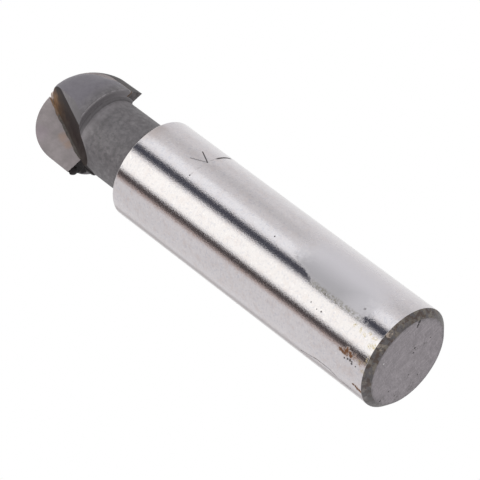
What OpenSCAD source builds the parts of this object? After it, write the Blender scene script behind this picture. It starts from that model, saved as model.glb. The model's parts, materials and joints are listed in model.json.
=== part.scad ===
// Core box (round nose) router bit with two brazed carbide tips.
// Millimetres. The bit stands on its shank end: z = 0 is the shank's end face and +Z points to the nose.
// Tip 1 lies on the +X side with its rake face towards +Y. Tip 2 is the same tip turned half round.

/* [Shank] */
// Diameter of the ground shank
shank_d = 12; // [11:0.1:16]
// Length of the ground shank, from its end face to the shoulder
shank_len = 39; // [25:0.5:60]
// Length of the chamfer round the shank's end, along the axis
end_chamfer_len = 0.72; // [0.3:0.02:1.5]
// Depth of the chamfer round the shank's end, across the axis
end_chamfer_depth = 0.76; // [0.3:0.02:1.5]
// Broken edge at the shoulder
shoulder_break = 0.3; // [0.1:0.05:0.6]

/* [Neck] */
// Diameter of the neck
neck_d = 8.6; // [7:0.1:9.4]
// Length of the neck, from the shoulder to the head
neck_len = 7.8; // [6.5:0.1:20]
// Fillet at both ends of the neck
neck_fillet = 0.4; // [0.1:0.05:0.6]

/* [Head] */
// Cutting diameter
cut_d = 12; // [11.6:0.1:13.6]
// Cutting height, from the head's end face to the nose
cut_h = 8.95; // [7.5:0.05:14]
// Distance by which the steel head's side lies inside the cutting circle
head_inset = 0.6; // [0.4:0.05:0.8]
// Distance by which the steel head's ball end is smaller in radius than its side
ball_inset = 0.45; // [0.2:0.05:0.6]
// Distance by which the steel head's ball end lies below the tips' nose
nose_inset = 0.95; // [0.8:0.05:1.3]
// Angle of the cone that joins the steel head's side to its ball end
cone_angle = 15; // [12:1:20]
// Broken edge round the head's end face
head_break = 0.15; // [0.05:0.05:0.3]

/* [Gullets] */
// Lean of a gullet's root line from the axis, in degrees
root_lean = 21.4; // [17:0.1:25]
// Distance from the axis to a gullet's root line, at the height of the nose
root_offset = 0.4; // [0.2:0.01:0.7]
// Angle between a rake face and its gullet wall, in degrees
gullet_angle = 104; // [92:1:112]
// Width of the gullet wall's main facet, measured from the root line
main_facet_w = 5.1; // [4.6:0.05:5.4]
// Angle by which the narrow outer facet turns away from the main one
outer_facet_turn = 24; // [10:1:35]

/* [Carbide tips] */
// Distance by which each rake face lies behind the axis at the nose
hook_offset = 0.24; // [0.1:0.02:0.5]
// Lean of the rake faces from the axis, which sets them further behind it towards the shank, in degrees
axial_rake = 2.8; // [0:0.1:4]
// Thickness of a tip
tip_t = 1.4; // [1.1:0.05:1.8]
// Thickness of the brazed joint under and beside a tip
braze_t = 0.12; // [0.06:0.01:0.2]

/* [Hidden] */
$fn = 96;

// Heights along the axis
head_z = shank_len + neck_len;
nose_z = head_z + cut_h;

// Steel head: a straight side, then a cone that runs on smoothly into a ball end
head_r = cut_d / 2 - head_inset;
ball_r = head_r - ball_inset;
ball_z = nose_z - nose_inset - ball_r;
cone_end_r = ball_r * cos(cone_angle);
cone_end_z = ball_z + ball_r * sin(cone_angle);
straight_side_z = cone_end_z - (head_r - cone_end_r) / tan(cone_angle);

// The tip's outer face is round about an axis that lies ahead of the rake face, which gives the relief
// behind the cutting edge. At the head's end face the edge runs at cut_d and the tip's back edge is
// flush with the steel.
base_hook = hook_offset + cut_h * tan(axial_rake);
edge_r = sqrt(pow(cut_d / 2, 2) - pow(base_hook, 2));
back_edge_r = sqrt(pow(head_r, 2) - pow(base_hook + tip_t, 2));
relief_ahead = (pow(edge_r, 2) - pow(back_edge_r, 2)) / (2 * tip_t) - tip_t / 2;
relief_r = sqrt(pow(edge_r, 2) + pow(relief_ahead, 2));

// Reach of the cutting shapes past the metal
reach = 2 * max(cut_d, shank_d);

// Half section of the steel head
module head_section() {
    polygon([
        [0, head_z],
        [head_r - head_break, head_z],
        [head_r, head_z + head_break],
        [head_r, straight_side_z],
        [cone_end_r, cone_end_z],
        [0, cone_end_z]
    ]);
    intersection() {
        translate([0, ball_z]) circle(ball_r);
        translate([0, cone_end_z]) square(ball_r);
    }
}

// Concave corner that fillets the neck into a face looking towards the nose
module neck_corner() {
    difference() {
        square(neck_fillet);
        translate([neck_fillet, neck_fillet]) circle(neck_fillet);
    }
}

// Half section of the bar as it leaves the lathe
module turned_section() {
    shank_r = shank_d / 2;
    polygon([
        [0, 0],
        [shank_r - end_chamfer_depth, 0],
        [shank_r, end_chamfer_len],
        [shank_r, shank_len - shoulder_break],
        [shank_r - shoulder_break, shank_len],
        [0, shank_len]
    ]);
    translate([0, shank_len]) square([neck_d / 2, neck_len]);
    translate([neck_d / 2, shank_len]) neck_corner();
    translate([neck_d / 2, head_z]) mirror([0, 1]) neck_corner();
    head_section();
}

// Frame of a tip: its rake face lies in the plane of local x and z, with the nose at the origin
module on_rake_face() {
    translate([0, -hook_offset, nose_z]) rotate([-axial_rake, 0, 0]) children();
}

// Frame of a gullet: local z runs up the root line, local x outwards along the rake face
module on_root_line() {
    on_rake_face() translate([root_offset, 0, 0]) rotate([0, -root_lean, 0]) children();
}

// Everything that a gullet takes away: bounded by the rake plane and by the two facets of its wall
module gullet() {
    bend = main_facet_w * [cos(gullet_angle), sin(gullet_angle)];
    outer_angle = gullet_angle + outer_facet_turn;
    on_root_line() translate([0, 0, -reach]) linear_extrude(2 * reach) polygon([
        [0, 0],
        [reach, 0],
        [reach, reach],
        bend + reach * [cos(outer_angle), sin(outer_angle)],
        bend
    ]);
}

// Slab behind the rake plane, outside the root line, above the head's end face
// grow widens it backwards and inwards, by the thickness of the brazed joint
module tip_slab(grow = 0) {
    depth = tip_t + grow;
    intersection() {
        on_root_line() translate([-grow, -depth, -reach]) cube([reach, depth, 2 * reach]);
        translate([-reach, -reach, head_z]) cube([2 * reach, 2 * reach, reach]);
    }
}

// Relieved outer form of a tip: a bar with a ball end
module tip_form() {
    on_rake_face() translate([0, relief_ahead, -edge_r]) rotate_extrude() {
        translate([0, -reach]) square([relief_r, reach]);
        intersection() {
            circle(relief_r);
            square(relief_r);
        }
    }
}

// Turns a piece to the first or the second flute
module flute(n) {
    rotate([0, 0, 180 * (n - 1)]) children();
}

module cutter_body() {
    color("lightslategray") difference() {
        rotate_extrude() turned_section();
        for (n = [1, 2]) flute(n) {
            gullet();
            tip_slab(braze_t);
        }
    }
}

module carbide_tip(n) {
    color("dimgray") flute(n) intersection() {
        tip_slab();
        tip_form();
    }
}

module braze_layer(n) {
    color("goldenrod") flute(n) intersection() {
        difference() {
            tip_slab(braze_t);
            tip_slab();
        }
        rotate_extrude() head_section();
    }
}

cutter_body();
carbide_tip(1);  // carbide_tip_1
carbide_tip(2);  // carbide_tip_2
braze_layer(1);  // braze_layer_1
braze_layer(2);  // braze_layer_2
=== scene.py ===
"""Finish of a core box router bit, dressed on its fixed frame of solids.

Lengths are metres. The bit stands on its shank end with its axis on Z, and the first carbide tip
is on the +X side with its rake face towards +Y.
"""

import json
import math
import random

import bmesh
import bpy
from bpy.props import FloatProperty, FloatVectorProperty, IntProperty, PointerProperty
from bpy.types import NodeSocket, Operator, Panel, PropertyGroup
from mathutils import Matrix, Vector


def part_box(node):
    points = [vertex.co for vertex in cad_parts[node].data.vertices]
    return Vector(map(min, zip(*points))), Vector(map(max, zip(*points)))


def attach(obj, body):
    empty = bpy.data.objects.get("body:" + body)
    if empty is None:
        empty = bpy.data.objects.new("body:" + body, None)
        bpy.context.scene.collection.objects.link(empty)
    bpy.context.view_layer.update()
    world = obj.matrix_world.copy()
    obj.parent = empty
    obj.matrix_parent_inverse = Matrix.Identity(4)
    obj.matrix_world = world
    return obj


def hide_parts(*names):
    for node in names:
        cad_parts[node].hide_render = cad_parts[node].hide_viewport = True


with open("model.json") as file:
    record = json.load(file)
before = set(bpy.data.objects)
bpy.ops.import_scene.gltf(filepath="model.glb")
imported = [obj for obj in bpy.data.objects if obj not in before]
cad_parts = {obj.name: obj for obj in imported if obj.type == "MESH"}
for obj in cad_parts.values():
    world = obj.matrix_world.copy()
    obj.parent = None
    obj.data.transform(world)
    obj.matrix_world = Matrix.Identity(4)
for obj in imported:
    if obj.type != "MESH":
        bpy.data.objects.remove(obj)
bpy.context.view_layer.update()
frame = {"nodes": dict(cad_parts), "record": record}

bl_info = {
    "name": "Core box router bit",
    "version": (1, 0, 0),
    "blender": (4, 5, 0),
    "location": "3D View > Sidebar > Router Bit",
    "description": "Dresses a carbide-tipped core box router bit and sets its studio",
    "category": "Object",
}

MM = 0.001
BODY = "root"
TIPS = ("carbide_tip_1", "carbide_tip_2")
LAYERS = ("braze_layer_1", "braze_layer_2")

SHANK = next(m for m in frame["record"]["mounts"] if m["name"] == "shank")
SHANK_R = SHANK["dims"]["r_mm"] * MM
CHAMFER_TOP = SHANK["pos_m"][2] - SHANK["dims"]["length_mm"] * MM / 2
SHANK_TOP = SHANK["pos_m"][2] + SHANK["dims"]["length_mm"] * MM / 2
HEAD_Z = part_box("carbide_tip_1")[0].z
NOSE_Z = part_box("carbide_tip_1")[1].z


# Degrees between a rake face and its gullet wall, and places along and round a bead of brass
WALL_ANGLE = 104
BEAD_ROWS = 40
BEAD_STEPS = 4

# Web of steel between the two gullets at the nose, in degrees and millimetres: the way its sides look,
# its half width at the top, how fast that grows downwards, and the brass on it: half its length and how
# far it stands out from the sides
WEB_TURN = 16
WEB_HALF = 0.37
WEB_SPREAD = 0.364
CAP_REACH = 1.25
CAP_BULGE = 0.05
CAP_ROWS = 16
CAP_STEPS = 10

# Blobs at the first tip's end and on the neck below it, black with painted shade: name, place, half sizes outwards,
# round and upwards, and turn in degrees
LUMPS = (
    ("tip_end_blob", (5.3, -1.3, 46.8), (0.55, 0.62, 0.22), -14),
    ("neck_blob", (4.0, -1.45, 45.45), (0.36, 0.75, 0.85), -20),
)

# Cards that the ground shank reflects as streaks: degrees from the camera, width in degrees, share of
# the width that fades out, and radiance
CARDS = (
    ("low_card", -148, 34, 0.9, (0.62, 0.60, 0.60)),
    ("warm_fringe", -58, 9, 0.8, (0.66, 0.535, 0.48)),
    ("warm_streak", -48, 18, 0.3, (0.115, 0.1, 0.1)),
    ("key_glow", -17, 48, 0.45, (1.66, 1.68, 1.6)),
    ("cool_streak", 16.3, 21.4, 0.4, (0.1, 0.105, 0.13)),
    ("side_glow", 41, 36, 0.7, (1.34, 1.38, 1.39)),
    ("grey_card", 82, 40, 0.9, (0.86, 0.86, 0.86)),
    ("rim_glow", 136, 50, 0.9, (1.08, 1.09, 1.09)),
)


class BitSizes(PropertyGroup):
    edge_break: FloatProperty(
        name="Edge break", description="Width of the soft edge where two faces meet",
        default=0.05 * MM, min=0.01 * MM, max=0.15 * MM, unit="LENGTH", precision=6)
    edge_steps: IntProperty(
        name="Edge steps", description="Faces across a soft edge", default=2, min=1, max=4)
    bead: FloatProperty(
        name="Braze bead", description="Leg of the brass fillet in the root of a gullet",
        default=0.27 * MM, min=0.05 * MM, max=0.4 * MM, unit="LENGTH", precision=6)
    mark_height: FloatProperty(
        name="Depth mark height", description="Height of the depth mark's line above the shank end",
        default=31.0 * MM, min=5 * MM, max=37 * MM, unit="LENGTH", precision=6)
    mark_line: FloatProperty(
        name="Depth mark line", description="Width of an etched line of the depth mark",
        default=0.15 * MM, min=0.05 * MM, max=0.4 * MM, unit="LENGTH", precision=6)
    mark_arrow: FloatProperty(
        name="Depth mark arrow", description="Height of the arrow that points at the mark's line",
        default=1.7 * MM, min=0.5 * MM, max=4 * MM, unit="LENGTH", precision=6)


def color_property(name, description, value):
    return FloatVectorProperty(
        name=name, description=description, default=value, subtype="COLOR", size=3, min=0, max=1)


class BitFinish(PropertyGroup):
    ground: color_property("Ground steel", "Bright ground steel of the shank", (0.6, 0.568, 0.582))
    haze: color_property("Hazed steel", "Duller patch of the shank", (0.62, 0.6, 0.63))
    end_face: color_property("End face", "Matte face at the shank end", (0.3, 0.272, 0.29))
    chamfer: color_property("Chamfer", "Stained ring round the end face", (0.116, 0.107, 0.11))
    blasted: color_property("Blasted steel", "Dark matte steel of the neck and head", (0.152, 0.142, 0.149))
    # The gullet wall's near-black is burnt steel and partly painted shade
    milled: color_property("Gullet wall", "Burnt wall of the gullets", (0.014, 0.0075, 0.007))
    head: color_property("Head", "Lighter, slightly purple steel of the head", (0.168, 0.157, 0.184))
    nose: color_property("Nose tint", "Purple-grey tint of the gullet wall by the nose", (0.08, 0.06, 0.09))
    facet: color_property("Gullet edge", "Lighter facet on the edge of the gullets", (0.2, 0.188, 0.198))
    carbide: color_property("Carbide", "Ground faces of the tips", (0.28, 0.247, 0.249))
    # Black of painted shade, put where the first tip's end and the neck beside it lie in shade
    painted_shade: color_property("Soot", "Black flux left on the undersides", (0.012, 0.009, 0.01))
    braze: color_property("Braze", "Brazing brass", (0.38, 0.21, 0.1))
    flux: color_property("Flux", "Olive-brown burnt flux over the brass", (0.078, 0.066, 0.06))
    rust: color_property("Rust", "Brown core of the rust", (0.15, 0.062, 0.024))
    straw: color_property("Straw stain", "Thin yellow-brown stain", (0.42, 0.33, 0.12))
    etched: color_property("Etched line", "Laser-etched line", (0.05, 0.04, 0.042))


class BitStudio(PropertyGroup):
    camera_place: FloatVectorProperty(
        name="Camera place", description="Where the camera stands", subtype="XYZ", unit="LENGTH",
        default=(0.08903, 0.27402, -0.15040), precision=5)
    camera_right: FloatVectorProperty(
        name="Camera right", description="Direction to the right of the picture", subtype="DIRECTION",
        default=(-0.70163, -0.20843, -0.68138))
    camera_up: FloatVectorProperty(
        name="Camera up", description="Direction to the top of the picture", subtype="DIRECTION",
        default=(-0.66231, 0.54347, 0.51574))
    lens: FloatProperty(
        name="Lens", description="Focal length on a 36 mm sensor, in millimetres", default=238.7)
    key: FloatProperty(
        name="Key light", description="Brightness of the main soft box", default=1.3, min=0)
    side: FloatProperty(
        name="Side light", description="Brightness of the second soft box", default=1.0, min=0)
    ambient: FloatProperty(
        name="Ambient", description="Brightness of the white tent round the bit", default=0.75, min=0)
    floor: color_property("Floor", "Pale floor", (0.86, 0.86, 0.86))


def settings():
    return bpy.context.scene.router_bit_sizes, bpy.context.scene.router_bit_finish


class Finish:
    """A material under construction, with short ways to add its nodes. Places are in millimetres."""

    def __init__(self, name):
        self.material = bpy.data.materials.new(name)
        self.material.use_nodes = True
        self.tree = self.material.node_tree
        self.shader = self.tree.nodes["Principled BSDF"]
        place = self.add("ShaderNodeTexCoord").outputs["Object"]
        self.place = self.vector("SCALE", place, Scale=1 / MM)

    def add(self, kind, inputs=None, **choices):
        node = self.tree.nodes.new(kind)
        for key, value in choices.items():
            setattr(node, key, value)
        for key, value in (inputs or {}).items():
            self.feed(node.inputs[key], value)
        return node

    def feed(self, socket, value):
        if isinstance(value, NodeSocket):
            self.tree.links.new(value, socket)
        elif hasattr(value, "__len__") and len(value) == 3 and len(socket.default_value) == 4:
            socket.default_value = (*value, 1)
        else:
            socket.default_value = value

    def set(self, **values):
        """Sets inputs of the surface shader, such as Base_Color=..., by value or by link."""
        for key, value in values.items():
            self.feed(self.shader.inputs[key.replace("_", " ")], value)

    def math(self, operation, a, b=0.0, clamp=False):
        return self.add(
            "ShaderNodeMath", {0: a, 1: b}, operation=operation, use_clamp=clamp).outputs[0]

    def vector(self, operation, a, b=(0, 0, 0), **inputs):
        node = self.add("ShaderNodeVectorMath", {0: a, 1: b, **inputs}, operation=operation)
        return node.outputs["Value" if operation in ("DISTANCE", "LENGTH", "DOT_PRODUCT") else "Vector"]

    def noise(self, size, detail=3.0, rough=0.5, stretch=(1, 1, 1), warp=0.0, to_low=None, to_high=1.0):
        """Smooth noise whose lumps are about size millimetres wide: from 0 to 1, or from to_low to to_high."""
        place = self.vector("MULTIPLY", self.place, stretch)
        value = self.add("ShaderNodeTexNoise", {
            "Vector": place, "Scale": 1 / size, "Detail": detail, "Roughness": rough,
            "Distortion": warp}).outputs["Fac"]
        return value if to_low is None else self.step(value, 0.25, 0.75, to_low, to_high)

    def step(self, value, low, high, to_low=0.0, to_high=1.0):
        """Runs smoothly from to_low, where value is low, to to_high, where it is high."""
        return self.add("ShaderNodeMapRange", {
            "Value": value, "From Min": low, "From Max": high, "To Min": to_low,
            "To Max": to_high}, interpolation_type="SMOOTHSTEP").outputs["Result"]

    def mix(self, share, a, b):
        node = self.add("ShaderNodeMix", data_type="RGBA")
        self.feed(node.inputs[0], share)
        self.feed(node.inputs[6], a)
        self.feed(node.inputs[7], b)
        return node.outputs[2]

    def blend(self, share, a, b):
        """Number a where share is 0, b where it is 1."""
        node = self.add("ShaderNodeMix", data_type="FLOAT")
        self.feed(node.inputs[0], share)
        self.feed(node.inputs[2], a)
        self.feed(node.inputs[3], b)
        return node.outputs[0]

    def spots(self, places, ragged=0.35, grain=0.5, soft=0.5):
        """Mask of 1 on ragged spots. Each place is (x, y, z, radius) in millimetres."""
        wobble = self.math("MULTIPLY", self.math("SUBTRACT", self.noise(grain), 0.5), 2 * ragged)
        mask = 0.0
        for *centre, radius in places:
            far = self.math("DIVIDE", self.vector("DISTANCE", self.place, centre), radius)
            far = self.math("ADD", far, wobble)
            mask = self.either(mask, self.step(far, 1, 1 - soft))
        return mask

    def stroke(self, start, end, width):
        """Mask of 1 on a straight stroke between two places."""
        along = Vector(end) - Vector(start)
        from_start = self.vector("SUBTRACT", self.place, start)
        share = self.math("DIVIDE", self.vector("DOT_PRODUCT", from_start, along), along.length_squared, True)
        nearest = self.vector("SCALE", along, Scale=share)
        far = self.vector("DISTANCE", from_start, nearest)
        return self.step(far, 0.7 * width, 0.3 * width)

    def within(self, value, low, high, soft):
        """Mask of 1 where value lies between low and high, with borders soft wide."""
        return self.both(self.step(value, low - soft, low + soft), self.step(value, high + soft, high - soft))

    def both(self, first, *others):
        for other in others:
            first = self.math("MULTIPLY", first, other)
        return first

    def either(self, first, *others):
        for other in others:
            first = self.math("MAXIMUM", first, other)
        return first

    def bump(self, height, depth, under=None):
        """Raises the surface by depth millimetres where height is 1."""
        inputs = {"Height": height, "Distance": depth * MM, "Strength": 1.0}
        if under is not None:
            inputs["Normal"] = under
        return self.add("ShaderNodeBump", inputs).outputs["Normal"]


def on_shank(azimuth, height, radius):
    """A spot on the shank: degrees round from +X, height and radius in millimetres."""
    turn = math.radians(azimuth)
    r = SHANK_R / MM
    return (r * math.cos(turn), r * math.sin(turn), height, radius)


RUST_SPOTS = [on_shank(*s) for s in (
    (43.0, 3.6, 0.52), (41.2, 4.3, 0.3), (41.9, 2.9, 0.34), (44.2, 3.0, 0.32), (40.6, 3.9, 0.3),
    (12.2, 1.8, 0.26), (11.4, 1.5, 0.26), (10.6, 1.3, 0.26), (9.7, 1.0, 0.24), (8.9, 0.8, 0.22))]
RUST_HALO = [on_shank(*s) for s in (
    (42.5, 3.6, 0.85), (40.6, 4.5, 0.45), (43.5, 2.4, 0.8), (42.5, 1.5, 0.6), (11.5, 1.5, 0.55), (9.2, 0.9, 0.45))]
STRAW_SPOTS = [on_shank(*s) for s in (
    (69.1, 4.1, 0.35), (69.7, 3.2, 0.4), (71.2, 2.2, 0.35), (70.7, 1.4, 0.4), (61.4, 1.5, 0.45), (61.2, 0.8, 0.5),
    (66.5, 2.6, 0.35), (64.5, 1.0, 0.4),
    (42.5, 1.7, 0.5), (36, 0.9, 0.4), (47, 1.0, 0.5), (52, 0.9, 0.4))]
BLACK_SPOTS = [on_shank(*s) for s in (
    (35.5, 3.5, 0.13), (36.9, 3.1, 0.17), (37.4, 2.75, 0.2), (37.0, 2.5, 0.13), (35, 2.45, 0.16), (35, 1.9, 0.1),
    (61.5, 9.9, 0.08), (59.2, 8.9, 0.07), (59.9, 8.3, 0.11), (91.8, 18.2, 0.1), (89.6, 31, 0.1))]
RING_DOT = on_shank(87.9, 4.5, 0.16)
SCRATCHES = [[on_shank(azimuth, z, 0)[:3] for azimuth, z in ends] for ends in (
    ((0.5, 9.7), (4.5, 8.2)), ((4.5, 8.2), (7.1, 7.2)), ((7.1, 7.2), (6.9, 5.3)), ((6.9, 5.3), (3.0, 4.4)),
    ((0.5, 3.7), (0.2, 2.4)))]
ARROW_AZIMUTH = 114.2
ARROW_ARMS = (-8.4, 8.3)
FACE_PITS = (
    (-2.75, 4.25, 0, 0.26), (-2.5, 3.95, 0, 0.2), (-2.35, 3.75, 0, 0.14), (-1.3, 1.0, 0, 0.12),
    (-0.95, 0.5, 0, 0.14), (4.6, -1.85, 0, 0.14), (3.25, -1.65, 0, 0.12), (-3.45, 0.3, 0, 0.1),
    (0.4, -2.1, 0, 0.1), (-0.6, -3.4, 0, 0.12))
CHAMFER_SPOTS = [on_shank(*s) for s in ((83, 0.35, 0.9), (76, 0.35, 0.8), (68, 0.35, 0.6))]
FACE_STAINS = ((-1.2, 0.9, 0, 0.9), (-2.6, 0.3, 0, 0.6), (2.6, -3.6, 0, 0.8), (0.6, -4.3, 0, 0.8), (4.3, -1.9, 0, 0.6))


# Spots of black painted shade at the first tip's end and on the neck below it: x, y, z and radius in millimetres
PAINTED_SHADE_SPOTS = (
    (4.2, -0.7, 45.1, 0.95), (4.2, -1.2, 45.6, 1.1), (4.3, -0.4, 46.2, 0.9), (4.7, -1.2, 46.8, 1.3),
    (4.3, -0.2, 45.4, 0.6), (3.9, -2.2, 46.4, 1.1))
HEAT_SPOTS = ((3.1, -0.5, 50.5, 0.9), (3.4, -0.55, 49.4, 0.8), (-3.1, 0.5, 50.5, 0.9))
COOL_SPOTS = ((4.6, -0.35, 53.0, 1.6), (-4.6, 0.35, 53.0, 1.6))


def dull_patch(f, turn, z):
    """Share of rubbed, dull steel on one side of the shank, above its end."""
    rim = f.math("ADD", z, f.noise(0.6, 4, 0.7, to_low=-0.7, to_high=0.7))
    top = f.step(turn, 77, 90, 11.0, 14.0)
    fade = f.step(turn, 78, 104, 1.2, 4.0)
    above = f.math("DIVIDE", f.math("SUBTRACT", rim, top), fade)
    below = f.math("DIVIDE", f.math("SUBTRACT", 4.0, rim), fade)
    return f.both(
        f.step(below, 0.8, -0.5),
        f.step(above, 0.9, -0.6),
        f.step(f.math("ADD", turn, f.noise(0.4, 3, to_low=-2.5, to_high=2.5)), 73.5, 76.5),
        f.step(turn, 150, 108))


def depth_mark(f, turn, z):
    """Etched line part of the way round, rubbed away in places, and the arrow that points at it."""
    sizes, colors = settings()
    height, width = sizes.mark_height / MM, sizes.mark_line / MM
    off = f.math("ABSOLUTE", f.math("SUBTRACT", z, height))
    wear_and_painted_light = f.step(f.noise(0.9, 3), 0.46, 0.6, 0.0, 0.25)
    line = f.both(f.step(off, 0.7 * width, 0.3 * width), f.within(turn, 88, 150, 1), wear_and_painted_light)
    line = f.either(line, f.both(f.step(off, 1.1 * width, 0.5 * width), f.step(turn, 124, 130), f.step(turn, 153, 149)))
    point = on_shank(ARROW_AZIMUTH, height, 0)[:3]
    for arm, share in zip(ARROW_ARMS, (0.6, 0.95)):
        tail = on_shank(ARROW_AZIMUTH + arm, height + sizes.mark_arrow / MM, 0)[:3]
        line = f.either(line, f.both(f.stroke(point, tail, width), share))
    return line


def ground_steel():
    """Bright shank: fine grinding lines round it, a dull patch, the depth mark, stains and rust."""
    sizes, colors = settings()
    f = Finish("ground_steel")
    x, y, z = f.add("ShaderNodeSeparateXYZ", {0: f.place}).outputs
    turn = f.math("MULTIPLY", f.math("ARCTAN2", y, x), 180 / math.pi)
    lines = f.noise(0.09, 2, 0.6, (0.12, 0.12, 1))
    grain = f.noise(0.2, 4, 0.75)
    cloud = f.noise(5.0, 2, 0.5, (1, 1, 0.4))
    blotch = f.step(f.noise(1.0, 4, 0.7), 0.45, 0.7)
    fleck = f.step(f.noise(0.3, 2, 0.5), 0.62, 0.7)
    speck = f.step(f.noise(0.28, 3, 0.7), 0.52, 0.64)
    dull = dull_patch(f, turn, z)
    mark = depth_mark(f, turn, z)
    rust = f.spots(RUST_SPOTS, 1.0, 0.3, 0.6)
    halo = f.both(f.spots(RUST_HALO, 0.9, 0.4, 0.9), f.step(f.noise(0.2, 3), 0.35, 0.6))
    straw = f.both(f.spots(STRAW_SPOTS, 0.8, 0.4, 0.9), f.step(f.noise(0.22, 3), 0.42, 0.6))
    ring = f.both(f.spots([RING_DOT], 0.1), f.math("SUBTRACT", 1, f.spots([(*RING_DOT[:3], 0.09)], 0.1)))
    scored = f.either(*(f.stroke(*ends, 0.14) for ends in SCRATCHES))
    scored = f.both(scored, f.step(f.noise(0.5, 4, 0.7), 0.35, 0.6, 0.2, 0.9))
    black = f.either(f.spots(BLACK_SPOTS, 0.4, 0.2), ring, scored)
    smear = f.both(f.spots([on_shank(105, 38.6, 2.2)], 0.8, 1.0, 0.9), 0.35)
    seam = f.both(f.within(turn, 74.5, 80, 1.5), f.within(z, 4.2, 11.3, 0.5), f.step(f.noise(0.28, 4, 0.7), 0.44, 0.58))

    tone = f.mix(f.step(cloud, 0.3, 0.7), colors.ground, [c * 0.95 for c in colors.ground])
    tone = f.mix(f.both(f.step(lines, 0.3, 0.7), 0.3), tone, [c * 0.82 for c in colors.ground])
    tone = f.mix(f.both(blotch, f.step(turn, 54, 44, 0.3, 0.5)), tone, (0.5, 0.43, 0.415))
    tone = f.mix(f.both(fleck, 0.22), tone, (0.8, 0.78, 0.78))
    tone = f.mix(f.both(speck, 0.4), tone, [c * k for c, k in zip(colors.ground, (0.66, 0.7, 0.78))])
    lit = f.either(f.step(turn, 84, 112), f.step(z, 8.5, 5, 0.0, 0.7))
    shaded = f.mix(lit, [c * 0.74 for c in colors.haze], colors.haze)
    tone = f.mix(dull, tone, shaded)
    tone = f.mix(smear, tone, (0.36, 0.28, 0.24))
    tone = f.mix(f.both(seam, 0.6), tone, (0.2, 0.18, 0.12))
    tone = f.mix(f.both(straw, 0.7), tone, colors.straw)
    tone = f.mix(f.both(halo, 0.65), tone, (0.34, 0.2, 0.12))
    tone = f.mix(rust, tone, colors.rust)
    tone = f.mix(f.either(f.both(black, 0.9), mark), tone, colors.etched)
    dirt = f.either(rust, black, mark)

    rough = f.step(f.noise(0.3, 3), 0.2, 0.8, 0.07, 0.12)
    rough = f.blend(dull, rough, 0.62)
    rough = f.blend(f.either(dirt, f.both(f.either(straw, halo), 0.4)), rough, 0.8)
    normal = f.bump(lines, 0.0012)
    normal = f.bump(grain, 0.009, normal)
    normal = f.bump(f.either(black, mark), -0.03, normal)
    normal = f.bump(f.both(rust, f.noise(0.12)), 0.04, normal)
    f.set(Base_Color=tone, Metallic=f.blend(dirt, 1.0, 0.15), Roughness=rough, Normal=normal)
    return f.material


def end_face():
    """Matte end face with faint turned rings, scratches and pits."""
    sizes, colors = settings()
    f = Finish("shank_end_face")
    radius = f.vector("LENGTH", f.vector("MULTIPLY", f.place, (1, 1, 0)))
    rings = f.math("SINE", f.math("MULTIPLY", f.math("ADD", radius, f.noise(1.5, 2, to_low=0, to_high=0.5)), 26))
    grit = f.noise(0.3, 5, 0.75)
    wear_and_painted_light = f.step(f.noise(1.3, 5, 0.7), 0.35, 0.65)
    scratch = f.either(
        f.step(f.noise(0.5, 3, 0.7, (0.2, 2.6, 1), 0.8), 0.56, 0.62),
        f.step(f.noise(0.5, 3, 0.7, (1.8, 0.5, 1), 1.2), 0.58, 0.64))
    cut = f.step(f.noise(0.6, 4, 0.75, (2.2, 0.3, 1), 1.0), 0.56, 0.62)
    pits = f.spots(FACE_PITS, 0.5, 0.2)
    rim = f.step(f.math("ADD", radius, f.noise(0.5, 3, to_low=-0.2, to_high=0.2)), 4.95, 5.2)
    tone = f.mix(wear_and_painted_light, [c * 0.82 for c in colors.end_face], [c * 1.1 for c in colors.end_face])
    tone = f.mix(f.step(radius, 0.5, 5.0, 0.0, 0.35), tone, [c * 0.75 for c in colors.end_face])
    tone = f.mix(f.both(f.step(grit, 0.4, 0.65), 0.38), tone, [c * 0.66 for c in colors.end_face])
    tone = f.mix(f.both(scratch, 0.35), tone, [c * 1.5 for c in colors.end_face])
    tone = f.mix(f.both(cut, 0.3), tone, [c * 0.5 for c in colors.end_face])
    tone = f.mix(f.both(rim, 0.65), tone, [c * 0.5 for c in colors.end_face])
    stain = f.both(f.spots(FACE_STAINS, 0.9, 0.7, 0.9), f.step(grit, 0.42, 0.6, 0.0, 0.7))
    tone = f.mix(stain, tone, (0.09, 0.08, 0.08))
    tone = f.mix(pits, tone, (0.03, 0.026, 0.026))
    tone = f.mix(f.spots([(2.79, 3.15, 0, 0.1)], 0.2), tone, (0.8, 0.8, 0.8))
    normal = f.bump(rings, 0.004)
    normal = f.bump(grit, 0.03, normal)
    normal = f.bump(pits, -0.08, normal)
    f.set(Base_Color=tone, Metallic=0.55, Roughness=0.55, Normal=normal)
    return f.material


def stained_chamfer():
    """Turned chamfer, stained brown and olive on one side."""
    sizes, colors = settings()
    f = Finish("stained_chamfer")
    x, y, z = f.add("ShaderNodeSeparateXYZ", {0: f.place}).outputs
    lines = f.noise(0.06, 2, 0.6, (0.1, 0.1, 1))
    side = f.step(y, -2, 4, 0.25, 1.0)
    olive = f.both(f.step(f.noise(0.7, 4, 0.6), 0.46, 0.56), side)
    brown = f.both(f.step(f.noise(0.6, 4, 0.7), 0.5, 0.58), side)
    dark = f.step(f.noise(1.3, 4, 0.7), 0.42, 0.58)
    light = f.step(f.noise(0.7, 4, 0.75), 0.5, 0.58)
    tone = f.mix(f.both(dark, 0.55), colors.chamfer, [c * 0.6 for c in colors.chamfer])
    tone = f.mix(f.both(light, 0.8), tone, [c * 1.8 for c in colors.chamfer])
    tone = f.mix(f.both(olive, f.step(y, -4, 4, 0.1, 0.5)), tone, (0.15, 0.125, 0.085))
    tone = f.mix(f.both(brown, 0.8), tone, (0.07, 0.046, 0.036))
    tone = f.mix(f.both(f.spots(CHAMFER_SPOTS, 0.9, 0.4, 0.8), light), tone, (0.4, 0.33, 0.28))
    normal = f.bump(lines, 0.004)
    normal = f.bump(f.noise(0.2, 4, 0.7), 0.02, normal)
    f.set(Base_Color=tone, Metallic=0.5, Roughness=0.5, Normal=normal)
    return f.material


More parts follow.
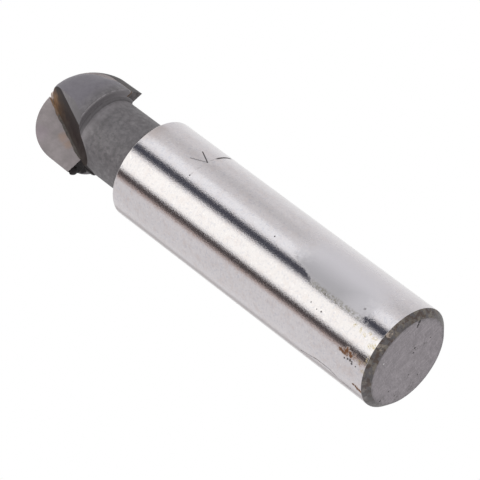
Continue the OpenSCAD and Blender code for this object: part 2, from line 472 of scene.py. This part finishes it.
def blasted_steel():
    """Dark grit-blasted steel of the neck and head, rubbed lighter in patches, with painted light on the head's
    underside and on a band of the neck below it, painted shade in the fillet between them, a painted highlight along
    the underside's outer edge and black painted shade by the first tip.
    """
    sizes, colors = settings()
    f = Finish("blasted_steel")
    x, y, z = f.add("ShaderNodeSeparateXYZ", {0: f.place}).outputs
    under = HEAD_Z / MM
    fine = f.noise(0.15, 4, 0.7)
    mottle = f.noise(0.55, 5, 0.7)
    cloud = f.noise(2.2, 2)
    rub = f.step(f.noise(1.1, 5, 0.75), 0.55, 0.72)
    # Painted light: the head's flat underside is made lighter
    flat = f.within(z, under - 0.02, under + 0.03, 0.01)
    # Painted shade: the fillet between the neck and the head's underside is made darker
    painted_fillet_shade = f.within(z, under - 0.4, under - 0.05, 0.04)
    # Painted light: a lighter band round the neck just below the fillet
    wear_and_painted_light = f.both(f.step(z, under - 1.9, under - 0.7), f.step(z, under - 0.3, under - 0.5))
    # Painted highlight: a light line along the outer edge of the head's underside
    rim = f.within(z, under + 0.05, under + 0.14, 0.02)
    # Black painted shade by the first tip's end and on the neck below it
    painted_shade = f.spots(PAINTED_SHADE_SPOTS, 0.35, 0.5, 0.35)
    tone = f.mix(f.step(mottle, 0.32, 0.68), [c * 0.74 for c in colors.blasted], [c * 1.2 for c in colors.blasted])
    tone = f.mix(f.both(f.step(cloud, 0.4, 0.7), 0.35), tone, [c * 0.8 for c in colors.blasted])
    tone = f.mix(f.both(rub, 0.4), tone, [c * 1.7 for c in colors.blasted])
    tone = f.mix(f.both(f.step(z, under, under + 2), 0.65), tone, colors.head)
    tone = f.mix(f.both(wear_and_painted_light, f.step(mottle, 0.3, 0.7, 0.6, 1.0)), tone, [c * 1.55 for c in colors.blasted])
    tone = f.mix(f.both(painted_fillet_shade, 0.7), tone, [c * 0.82 for c in colors.blasted])
    tone = f.mix(f.both(flat, 0.9), tone, [c * 1.5 for c in colors.blasted])
    tone = f.mix(f.both(rim, f.step(mottle, 0.3, 0.6, 0.2, 0.75)), tone, [c * 2.0 for c in colors.blasted])
    tone = f.mix(painted_shade, tone, colors.painted_shade)
    normal = f.bump(fine, 0.016)
    normal = f.bump(mottle, 0.016, normal)
    f.set(
        Base_Color=tone, Metallic=f.blend(painted_shade, 0.45, 0.0), Roughness=f.blend(painted_shade, 0.55, 0.75),
        Specular_IOR_Level=0.3, Normal=normal)
    return f.material


def gullet_wall(root):
    """Burnt milled wall, its near-black partly painted shade: golden brass that ran on it near the nose, then brown,
    then nearly black.
    """
    sizes, colors = settings()
    f = Finish("gullet_wall")
    marks = f.noise(0.12, 2, 0.5, (0.3, 0.3, 1))
    mottle = f.noise(0.6, 4, 0.65)
    tone = f.mix(f.step(mottle, 0.3, 0.7), [c * 0.75 for c in colors.milled], [c * 1.5 for c in colors.milled])
    wobble = f.noise(0.8, 3, to_low=-0.6, to_high=0.6)
    z = f.add("ShaderNodeSeparateXYZ", {0: f.place}).outputs["Z"]
    purple = f.step(f.math("ADD", z, wobble), NOSE_Z / MM - 2.2, NOSE_Z / MM - 0.8)
    tone = f.mix(f.both(purple, 0.85), tone, colors.nose)
    look = math.radians(WEB_TURN)
    aside = f.vector("DOT_PRODUCT", f.place, (math.cos(look), math.sin(look), 0))
    for side, (low, high) in zip((1, -1), root):
        ours = f.step(f.math("MULTIPLY", aside, side), -0.1, 0.1)
        start, along = high / MM, (low - high).normalized()
        from_nose = f.vector("SUBTRACT", f.place, start)
        down = f.vector("DOT_PRODUCT", from_nose, along)
        foot = f.vector("SCALE", along, Scale=down)
        across = f.math("ADD", f.vector("DISTANCE", from_nose, foot), wobble)
        down = f.math("ADD", down, wobble)
        root_side = f.both(ours, f.step(across, 2.4, 0.3), 0.7)
        tone = f.mix(root_side, tone, [c * 0.8 for c in colors.flux])
        warm = f.both(ours, f.step(down, 6.5, 1.0), f.step(across, 4.4, 1.6), 0.85)
        tone = f.mix(warm, tone, [c * 0.24 for c in colors.braze])
        gold = f.both(ours, f.step(down, 3.2, 1.4), f.step(across, 3.2, 1.2), 0.9)
        tone = f.mix(gold, tone, [c * 0.57 for c in colors.braze])
    normal = f.bump(marks, 0.004)
    normal = f.bump(f.noise(0.15, 3), 0.01, normal)
    f.set(Base_Color=tone, Metallic=0.12, Roughness=0.55, Specular_IOR_Level=0.12, Normal=normal)
    return f.material


def gullet_facet():
    """Narrow lighter facet on the outer edge of a gullet wall, darker towards the neck."""
    sizes, colors = settings()
    f = Finish("gullet_facet")
    z = f.add("ShaderNodeSeparateXYZ", {0: f.place}).outputs["Z"]
    mottle = f.noise(0.4, 4, 0.6)
    tone = f.mix(f.step(mottle, 0.3, 0.7), [c * 0.82 for c in colors.facet], [c * 1.1 for c in colors.facet])
    tone = f.mix(f.step(z, HEAD_Z / MM + 5, HEAD_Z / MM), tone, [c * 0.66 for c in colors.facet])
    f.set(Base_Color=tone, Metallic=0.5, Roughness=0.5, Normal=f.bump(f.noise(0.14, 3), 0.01))
    return f.material


def ground_carbide():
    """Ground face of a tip: fine one-way lines, warm and lavender heat tints and a dark inner edge."""
    sizes, colors = settings()
    f = Finish("ground_carbide")
    lines = f.noise(0.05, 2, 0.6, (1, 1, 0.08))
    cloud = f.noise(1.6, 4, 0.6)
    tint = f.both(f.spots(HEAT_SPOTS, 0.5, 1.0, 0.9), 0.45)
    cool = f.both(f.spots(COOL_SPOTS, 0.5, 1.0, 0.9), 0.35)
    tone = f.mix(f.step(cloud, 0.3, 0.7), [c * 1.1 for c in colors.carbide], [c * 0.84 for c in colors.carbide])
    tone = f.mix(cool, tone, (0.31, 0.245, 0.29))
    tone = f.mix(tint, tone, (0.34, 0.2, 0.12))
    tone = f.mix(f.both(f.step(lines, 0.4, 0.7), 0.3), tone, [c * 0.72 for c in colors.carbide])
    normal = f.bump(lines, 0.003)
    f.set(Base_Color=tone, Metallic=0.7, Roughness=0.4, Normal=f.bump(f.noise(0.3, 3), 0.004, normal))
    return f.material


def relieved_carbide():
    """Darker ground relief behind the cutting edge."""
    sizes, colors = settings()
    f = Finish("relieved_carbide")
    lines = f.noise(0.05, 2, 0.6, (0.2, 0.2, 1))
    tone = f.mix(f.step(f.noise(0.8, 3), 0.3, 0.7),
                 [c * 0.16 for c in colors.carbide], [c * 0.24 for c in colors.carbide])
    f.set(
        Base_Color=tone, Metallic=0.1, Roughness=0.6, Specular_IOR_Level=0.3,
        Normal=f.bump(lines, 0.004))
    return f.material


def tip_end():
    """Unground end of a tip, grey, darkened in mottled patches as painted shade."""
    sizes, colors = settings()
    f = Finish("tip_end")
    tone = f.mix(f.step(f.noise(0.5, 4), 0.35, 0.7),
                 [c * 0.5 for c in colors.carbide], [c * 0.25 for c in colors.carbide])
    f.set(Base_Color=tone, Metallic=0.3, Roughness=0.6, Normal=f.bump(f.noise(0.2, 3), 0.01))
    return f.material


def painted_shade_black():
    """Black surface of painted shade, mottled a little."""
    sizes, colors = settings()
    f = Finish("painted_shade_black")
    tone = f.mix(f.step(f.noise(0.5, 4), 0.4, 0.75), colors.painted_shade, [c * 2.0 for c in colors.painted_shade])
    f.set(Base_Color=tone, Metallic=0.05, Roughness=0.7, Specular_IOR_Level=0.25,
          Normal=f.bump(f.noise(0.2, 4), 0.02))
    return f.material


def brazing_brass():
    """Dull brass, browner where the flux burnt, with spots of black painted shade by the first tip."""
    sizes, colors = settings()
    f = Finish("brazing_brass")
    burnt = f.step(f.noise(0.6, 4), 0.35, 0.65)
    tone = f.mix(burnt, [c * 0.4 for c in colors.braze], [c * 0.18 for c in colors.braze])
    # Black painted shade by the first tip
    tone = f.mix(f.spots(PAINTED_SHADE_SPOTS, 0.35, 0.5, 0.35), tone, colors.painted_shade)
    f.set(Base_Color=tone, Metallic=0.6, Roughness=0.5, Normal=f.bump(f.noise(0.12, 3), 0.01))
    return f.material


def run_out_brass():
    """Brass on the nose and in the gullet roots: golden near the nose, with a painted highlight there, olive-brown
    below.
    """
    sizes, colors = settings()
    f = Finish("run_out_brass")
    z = f.add("ShaderNodeSeparateXYZ", {0: f.place}).outputs["Z"]
    z = f.math("ADD", z, f.noise(0.5, 4, to_low=-0.6, to_high=0.6))
    nose = NOSE_Z / MM
    tone = f.mix(f.step(f.noise(0.35, 4, 0.7), 0.35, 0.65), colors.flux, [c * 0.5 for c in colors.flux])
    tone = f.mix(f.both(f.step(z, nose - 3.4, nose - 0.9), 0.8), tone, [c * 0.46 for c in colors.braze])
    # Painted highlight: a pale pinkish spot on the brass near the nose
    painted_glint = f.both(f.step(z, nose - 1.3, nose - 0.7), f.step(f.noise(0.4, 3), 0.42, 0.55))
    tone = f.mix(painted_glint, tone, (0.62, 0.5, 0.46))
    f.set(Base_Color=tone, Metallic=0.35, Roughness=0.45, Normal=f.bump(f.noise(0.15, 4), 0.012))
    return f.material


def new_piece(name, mesh):
    piece = bpy.data.objects.new(name, mesh)
    bpy.context.scene.collection.objects.link(piece)
    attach(piece, BODY)
    return piece


def plane_of(face):
    """Key that faces of one flat surface share."""
    n = face.normal
    return (*(round(c, 3) for c in n), round(face.verts[0].co.dot(n) / MM, 2))


def flat_areas(bm):
    areas = {}
    for face in bm.faces:
        key = plane_of(face)
        areas[key] = areas.get(key, 0) + face.calc_area() / MM ** 2
    return areas


def softened_copy(node, name, finishes, finish_of):
    """Copy of a CAD node with its faces sorted into finishes and its sharp edges broken."""
    sizes, colors = settings()
    bm = bmesh.new()
    bm.from_mesh(frame["nodes"][node].data)
    bmesh.ops.remove_doubles(bm, verts=bm.verts, dist=0.002 * MM)
    areas = flat_areas(bm)
    keys = list(finishes)
    for face in bm.faces:
        face.material_index = keys.index(finish_of(face, areas[plane_of(face)]))
        face.smooth = True
    bmesh.ops.dissolve_limit(
        bm, angle_limit=math.radians(0.05), verts=bm.verts, edges=bm.edges, delimit={"MATERIAL"})
    mesh = bpy.data.meshes.new(name)
    bm.to_mesh(mesh)
    bm.free()
    for key in keys:
        mesh.materials.append(finishes[key])
    piece = new_piece(name, mesh)
    soften = piece.modifiers.new("edge_break", "BEVEL")
    soften.limit_method = "ANGLE"
    soften.angle_limit = math.radians(25)
    soften.width = sizes.edge_break
    soften.segments = sizes.edge_steps
    soften.use_clamp_overlap = False
    soften.miter_outer = "MITER_ARC"
    weigh = piece.modifiers.new("even_shading", "WEIGHTED_NORMAL")
    weigh.weight = 100
    weigh.keep_sharp = False
    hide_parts(node)
    return piece


def apply_modifiers(piece):
    graph = bpy.context.evaluated_depsgraph_get()
    mesh = bpy.data.meshes.new_from_object(piece.evaluated_get(graph))
    old = piece.data
    piece.modifiers.clear()
    piece.data = mesh
    bpy.data.meshes.remove(old)


def root_lines():
    """Both ends of the line where each tip's rake face meets its gullet wall, shank end first."""
    lines = []
    for tip, side in zip(TIPS, (1, -1)):
        mesh = frame["nodes"][tip].data
        rake = {i for face in mesh.polygons if face.normal.y * side > 0.99 for i in face.vertices}
        corners = [mesh.vertices[i].co.copy() for i in rake]
        low = min((v for v in corners if v.z < HEAD_Z + 0.01 * MM), key=lambda v: v.x * side)
        high = min(corners, key=lambda v: v.x * side)
        lines.append((low, high))
    return lines


class ROUTERBIT_OT_cutter_body(Operator):
    """Dresses the turned and milled steel body"""
    bl_idname = "router_bit.cutter_body"
    bl_label = "Cutter body"

    def execute(self, context):
        finishes = {
            "ground": ground_steel(),
            "end_face": end_face(),
            "chamfer": stained_chamfer(),
            "blasted": blasted_steel(),
            "wall": gullet_wall(root_lines()),
            "facet": gullet_facet(),
            "painted_shade_cut": painted_shade_black(),
        }

        roots = [(low, (high - low).normalized()) for low, high in root_lines()]

        def finish_of(face, area):
            middle, normal = face.calc_center_median(), face.normal
            if middle.z < 0.01 * MM:
                return "end_face"
            if middle.z < CHAMFER_TOP and normal.z < -0.3:
                return "chamfer"
            if middle.z < SHANK_TOP + 0.25 * MM:
                return "ground"
            beside = [place for place, along in roots if abs(normal.dot(along)) < 0.003]
            # A face in the plane of a root line: the rake plane's cut into the steel is black with painted shade, the
            # rest is gullet wall
            if any(abs(normal.dot(middle - place)) < 0.02 * MM for place in beside):
                return "painted_shade_cut" if abs(normal.y) > 0.95 else "wall"
            return "facet" if beside and area > 1 and abs(normal.z) > 0.1 else "blasted"

        piece = softened_copy("cutter_body", "steel_body", finishes, finish_of)
        apply_modifiers(piece)
        return {"FINISHED"}


class ROUTERBIT_OT_carbide_tips(Operator):
    """Dresses the two brazed carbide tips"""
    bl_idname = "router_bit.carbide_tips"
    bl_label = "Carbide tips"

    def execute(self, context):
        finishes = {"ground": ground_carbide(), "relief": relieved_carbide(), "end": None}

        def finish_of(face, area):
            if abs(face.normal.y) > 0.99:
                return "ground"
            return "end" if face.normal.z < -0.9 else "relief"

        for number, tip in enumerate(TIPS, 1):
            # The first tip's end is black with painted shade, the second's is mottled darker with painted shade
            finishes["end"] = painted_shade_black() if number == 1 else tip_end()
            piece = softened_copy(tip, f"ground_tip_{number}", finishes, finish_of)
            piece.modifiers["edge_break"].width = 0.02 * MM
            apply_modifiers(piece)
        return {"FINISHED"}


class ROUTERBIT_OT_braze(Operator):
    """Colours the brazed joints and lays the brass bead in the root of each gullet"""
    bl_idname = "router_bit.braze"
    bl_label = "Braze"

    def execute(self, context):
        sizes, colors = settings()
        brass = brazing_brass()
        for layer in LAYERS:
            node = frame["nodes"][layer]
            for slot in node.material_slots:
                slot.material = brass
        ran = run_out_brass()
        for number, (low, high) in enumerate(root_lines(), 1):
            self.bead(f"root_bead_{number}", low, high, 3 - 2 * number, sizes.bead, ran)
        self.nose_cap(ran)
        # The blobs are black with painted shade
        flux = painted_shade_black()
        for name, place, size, turn in LUMPS:
            self.lump(name, place, size, turn, flux)
        return {"FINISHED"}

    def lump(self, name, place, size, turn, finish):
        """Small uneven blob, sunk half into the steel."""
        rng = random.Random(name)
        bm = bmesh.new()
        bmesh.ops.create_icosphere(bm, subdivisions=3, radius=1)
        waves = [(Vector([rng.uniform(-3, 3) for axis in range(3)]), rng.uniform(0, 6)) for wave in range(4)]
        for vert in bm.verts:
            vert.co *= 1 + 0.06 * sum(math.sin(vert.co.dot(way) + start) for way, start in waves)
        away = Matrix.Rotation(math.radians(turn), 4, "Z")
        shape = Matrix.Diagonal((*size, 1))
        bm.transform(Matrix.Scale(MM, 4) @ Matrix.Translation(place) @ away @ shape)
        self.finish_mesh(bm, name, finish)

    def bead(self, name, low, high, side, leg, finish):
        """Hollow fillet of brass along the root line, of uneven width."""
        along = (low - high).normalized()
        out = Vector((side, 0, 0))
        out = (out - along * out.dot(along)).normalized()
        ahead = out.cross(along)
        ahead *= math.copysign(1, ahead.y * side)
        wall = math.radians(WALL_ANGLE)
        up_wall = out * math.cos(wall) + ahead * math.sin(wall)
        bm = bmesh.new()
        rows = []
        for i in range(BEAD_ROWS + 1):
            share = i / BEAD_ROWS
            place = high.lerp(low, 0.02 + 0.975 * share)
            waves = 1 + 0.12 * math.sin(23 * share + side) + 0.09 * math.sin(51 * share + 2)
            width = leg * waves * min(1, 0.45 + 2.2 * share, 0.4 + 8 * (1 - share))
            sink = (out + up_wall) * -0.02 * MM
            row = [place + sink]
            for j in range(BEAD_STEPS + 1):
                t = j / BEAD_STEPS
                reach = out * (1 - t) ** 2 + up_wall * t ** 2 + (out + up_wall) * 0.35 * t * (1 - t)
                row.append(place + reach * width + sink * (1 if j in (0, BEAD_STEPS) else 0))
            rows.append([bm.verts.new(v) for v in row])
        count = len(rows[0])
        for first, second in zip(rows, rows[1:]):
            for j in range(count):
                k = (j + 1) % count
                bm.faces.new((first[j], first[k], second[k], second[j]))
        bm.faces.new(rows[0])
        bm.faces.new(reversed(rows[-1]))
        self.finish_mesh(bm, name, finish)

    def nose_cap(self, finish):
        """Brass that fills the web between the tips at the nose, with walls that follow the gullets."""
        top, base = NOSE_Z / MM - 0.2, NOSE_Z / MM - 1.35
        across = Vector((math.cos(math.radians(WEB_TURN)), math.sin(math.radians(WEB_TURN)), 0))
        along = Vector((-across.y, across.x, 0))
        bm = bmesh.new()
        rows = []
        for i in range(CAP_ROWS + 1):
            t = 2 * i / CAP_ROWS - 1
            peak = base + 0.15 + (top - base - 0.15) * (1 - t * t)
            half = WEB_HALF + WEB_SPREAD * (top - peak) + CAP_BULGE
            foot = WEB_HALF + WEB_SPREAD * (top - base) + CAP_BULGE
            middle = along * (t * CAP_REACH)
            row = [middle - across * foot + Vector((0, 0, base))]
            for j in range(CAP_STEPS + 1):
                turn = math.pi * j / CAP_STEPS
                rise = math.sin(turn) ** 0.7
                row.append(middle - across * half * math.cos(turn) + Vector((0, 0, peak - 0.16 * (1 - rise))))
            row.append(middle + across * foot + Vector((0, 0, base)))
            rows.append([bm.verts.new(v * MM) for v in row])
        for first, second in zip(rows, rows[1:]):
            for j in range(len(first) - 1):
                bm.faces.new((first[j], first[j + 1], second[j + 1], second[j]))
        for row in (rows[0], rows[-1]):
            bm.faces.new(row)
        bm.faces.new([row[k] for row, k in ((rows[0], 0), (rows[0], -1), (rows[-1], -1), (rows[-1], 0))])
        self.finish_mesh(bm, "nose_cap", finish)

    def finish_mesh(self, bm, name, finish):
        bmesh.ops.recalc_face_normals(bm, faces=bm.faces)
        for face in bm.faces:
            face.smooth = True
        mesh = bpy.data.meshes.new(name)
        bm.to_mesh(mesh)
        bm.free()
        mesh.materials.append(finish)
        new_piece(name, mesh)


class ROUTERBIT_OT_studio(Operator):
    """Sets the floor, the tent, the soft boxes, the dark flags and the camera"""
    bl_idname = "router_bit.studio"
    bl_label = "Studio"

    def execute(self, context):
        studio = context.scene.router_bit_studio
        context.scene.view_settings.view_transform = "Standard"
        self.camera(studio)
        self.world(studio)
        self.floor(studio)
        facing = math.degrees(math.atan2(studio.camera_place[1], studio.camera_place[0]))
        self.soft_box("key_box", facing - 16, 33, 0.40, (0.30, 0.36), studio.key)
        self.soft_box("side_box", facing + 44, 33, 0.40, (0.16, 0.36), studio.side)
        for name, azimuth, width, soft, color in CARDS:
            self.card(name, facing + azimuth, width, soft, color)
        return {"FINISHED"}

    def camera(self, studio):
        data = bpy.data.cameras.new("camera")
        data.sensor_width = 36
        data.lens = studio.lens
        data.clip_start = 0.01
        data.clip_end = 10
        camera = bpy.data.objects.new("camera", data)
        right = Vector(studio.camera_right).normalized()
        up = Vector(studio.camera_up).normalized()
        back = right.cross(up)
        turn = Matrix((right, up, back)).transposed().to_4x4()
        camera.matrix_world = Matrix.Translation(studio.camera_place) @ turn
        bpy.context.scene.collection.objects.link(camera)
        bpy.context.scene.camera = camera

    def world(self, studio):
        world = bpy.data.worlds.new("tent")
        world.use_nodes = True
        tree = world.node_tree
        background = tree.nodes["Background"]
        path = tree.nodes.new("ShaderNodeLightPath")
        seen = path.outputs["Is Camera Ray"]
        for name in ("Is Glossy Ray", "Is Transmission Ray"):
            either = tree.nodes.new("ShaderNodeMath")
            either.operation = "MAXIMUM"
            tree.links.new(seen, either.inputs[0])
            tree.links.new(path.outputs[name], either.inputs[1])
            seen = either.outputs[0]
        level = tree.nodes.new("ShaderNodeMapRange")
        level.inputs["To Min"].default_value = studio.ambient
        level.inputs["To Max"].default_value = 1
        tree.links.new(seen, level.inputs["Value"])
        background.inputs["Color"].default_value = (1, 1, 1, 1)
        tree.links.new(level.outputs["Result"], background.inputs["Strength"])
        bpy.context.scene.world = world

    def floor(self, studio):
        """A ring-shaped floor that is seen only from above, because the camera looks up from below it."""
        bm = bmesh.new()
        rings = []
        rim = [v.co for v in frame["nodes"]["cutter_body"].data.vertices if v.co.z < 0.01 * MM]
        for radius in (max(math.hypot(v.x, v.y) for v in rim), 0.05, 0.3, 1.2):
            rings.append([
                bm.verts.new((radius * math.cos(t), radius * math.sin(t), 0))
                for t in (2 * math.pi * i / 96 for i in range(96))])
        for inner, outer in zip(rings, rings[1:]):
            for i in range(96):
                j = (i + 1) % 96
                bm.faces.new((inner[i], outer[i], outer[j], inner[j]))
        mesh = bpy.data.meshes.new("floor")
        bm.to_mesh(mesh)
        bm.free()
        material = bpy.data.materials.new("pale_floor")
        material.use_nodes = True
        tree = material.node_tree
        shader = tree.nodes["Principled BSDF"]
        shader.inputs["Base Color"].default_value = (*studio.floor, 1)
        shader.inputs["Roughness"].default_value = 0.9
        clear = tree.nodes.new("ShaderNodeBsdfTransparent")
        side = tree.nodes.new("ShaderNodeNewGeometry")
        pick = tree.nodes.new("ShaderNodeMixShader")
        tree.links.new(side.outputs["Backfacing"], pick.inputs[0])
        tree.links.new(shader.outputs[0], pick.inputs[1])
        tree.links.new(clear.outputs[0], pick.inputs[2])
        tree.links.new(pick.outputs[0], tree.nodes["Material Output"].inputs["Surface"])
        mesh.materials.append(material)
        floor = bpy.data.objects.new("floor", mesh)
        floor.visible_shadow = False
        floor.visible_diffuse = False
        floor.visible_glossy = False
        bpy.context.scene.collection.objects.link(floor)

    def place_facing(self, obj, azimuth, elevation, distance):
        turn, rise = math.radians(azimuth), math.radians(elevation)
        middle = Vector((0, 0, NOSE_Z / 2))
        away = Vector((math.cos(turn) * math.cos(rise), math.sin(turn) * math.cos(rise), math.sin(rise)))
        obj.matrix_world = Matrix.Translation(middle + away * distance) @ away.to_track_quat("Z", "Y").to_matrix().to_4x4()

    def soft_box(self, name, azimuth, elevation, distance, size, radiance):
        data = bpy.data.lights.new(name, "AREA")
        data.shape = "RECTANGLE"
        data.size, data.size_y = size
        data.energy = radiance * math.pi * size[0] * size[1]
        lamp = bpy.data.objects.new(name, data)
        self.place_facing(lamp, azimuth, elevation, distance)
        lamp.visible_camera = False
        lamp.visible_glossy = False
        bpy.context.scene.collection.objects.link(lamp)

    def card(self, name, azimuth, width, soft, color):
        """Tall card that only reflections show, as a light or dark streak along the shank."""
        distance = 0.3
        half = distance * math.tan(math.radians(width / 2))
        bm = bmesh.new()
        corners = ((-half, 0.02), (half, 0.02), (half, 0.6), (-half, 0.6))
        bm.faces.new([bm.verts.new((x, 0, z)) for x, z in corners])
        mesh = bpy.data.meshes.new(name)
        bm.to_mesh(mesh)
        bm.free()
        f = Finish(name)
        aside = f.add("ShaderNodeSeparateXYZ", {0: f.place}).outputs["X"]
        inside = f.math("SUBTRACT", 1, f.math("DIVIDE", f.math("ABSOLUTE", aside), half / MM))
        glow = f.add("ShaderNodeEmission", {"Color": color}).outputs[0]
        clear = f.add("ShaderNodeBsdfTransparent").outputs[0]
        both = f.add("ShaderNodeMixShader", {0: f.step(inside, 0, soft), 1: clear, 2: glow})
        f.tree.links.new(both.outputs[0], f.tree.nodes["Material Output"].inputs["Surface"])
        mesh.materials.append(f.material)
        card = bpy.data.objects.new(name, mesh)
        turn = math.radians(azimuth)
        away = Vector((math.cos(turn), math.sin(turn), 0)) * distance
        card.matrix_world = Matrix.Translation(away) @ Matrix.Rotation(turn + math.pi / 2, 4, "Z")
        card.visible_camera = False
        card.visible_diffuse = False
        card.visible_shadow = False
        bpy.context.scene.collection.objects.link(card)


class ROUTERBIT_PT_panel(Panel):
    """Lists the pieces of the router bit"""
    bl_idname = "ROUTERBIT_PT_panel"
    bl_label = "Core box router bit"
    bl_space_type = "VIEW_3D"
    bl_region_type = "UI"
    bl_category = "Router Bit"

    def draw(self, context):
        for step in STEPS:
            self.layout.operator(step.bl_idname)
        for group in GROUPS:
            box = self.layout.box()
            data = getattr(context.scene, group)
            for key in GROUPS[group].__annotations__:
                box.prop(data, key)


STEPS = (
    ROUTERBIT_OT_studio, ROUTERBIT_OT_cutter_body, ROUTERBIT_OT_carbide_tips, ROUTERBIT_OT_braze)
GROUPS = {
    "router_bit_sizes": BitSizes,
    "router_bit_finish": BitFinish,
    "router_bit_studio": BitStudio,
}
CLASSES = (*GROUPS.values(), *STEPS, ROUTERBIT_PT_panel)


def register():
    for cls in CLASSES:
        bpy.utils.register_class(cls)
    for name, group in GROUPS.items():
        setattr(bpy.types.Scene, name, PointerProperty(type=group))


def unregister():
    for name in GROUPS:
        delattr(bpy.types.Scene, name)
    for cls in reversed(CLASSES):
        bpy.utils.unregister_class(cls)


def main():
    register()
    for step in STEPS:
        group, name = step.bl_idname.split(".")
        getattr(getattr(bpy.ops, group), name)()


if __name__ == "__main__":
    main()
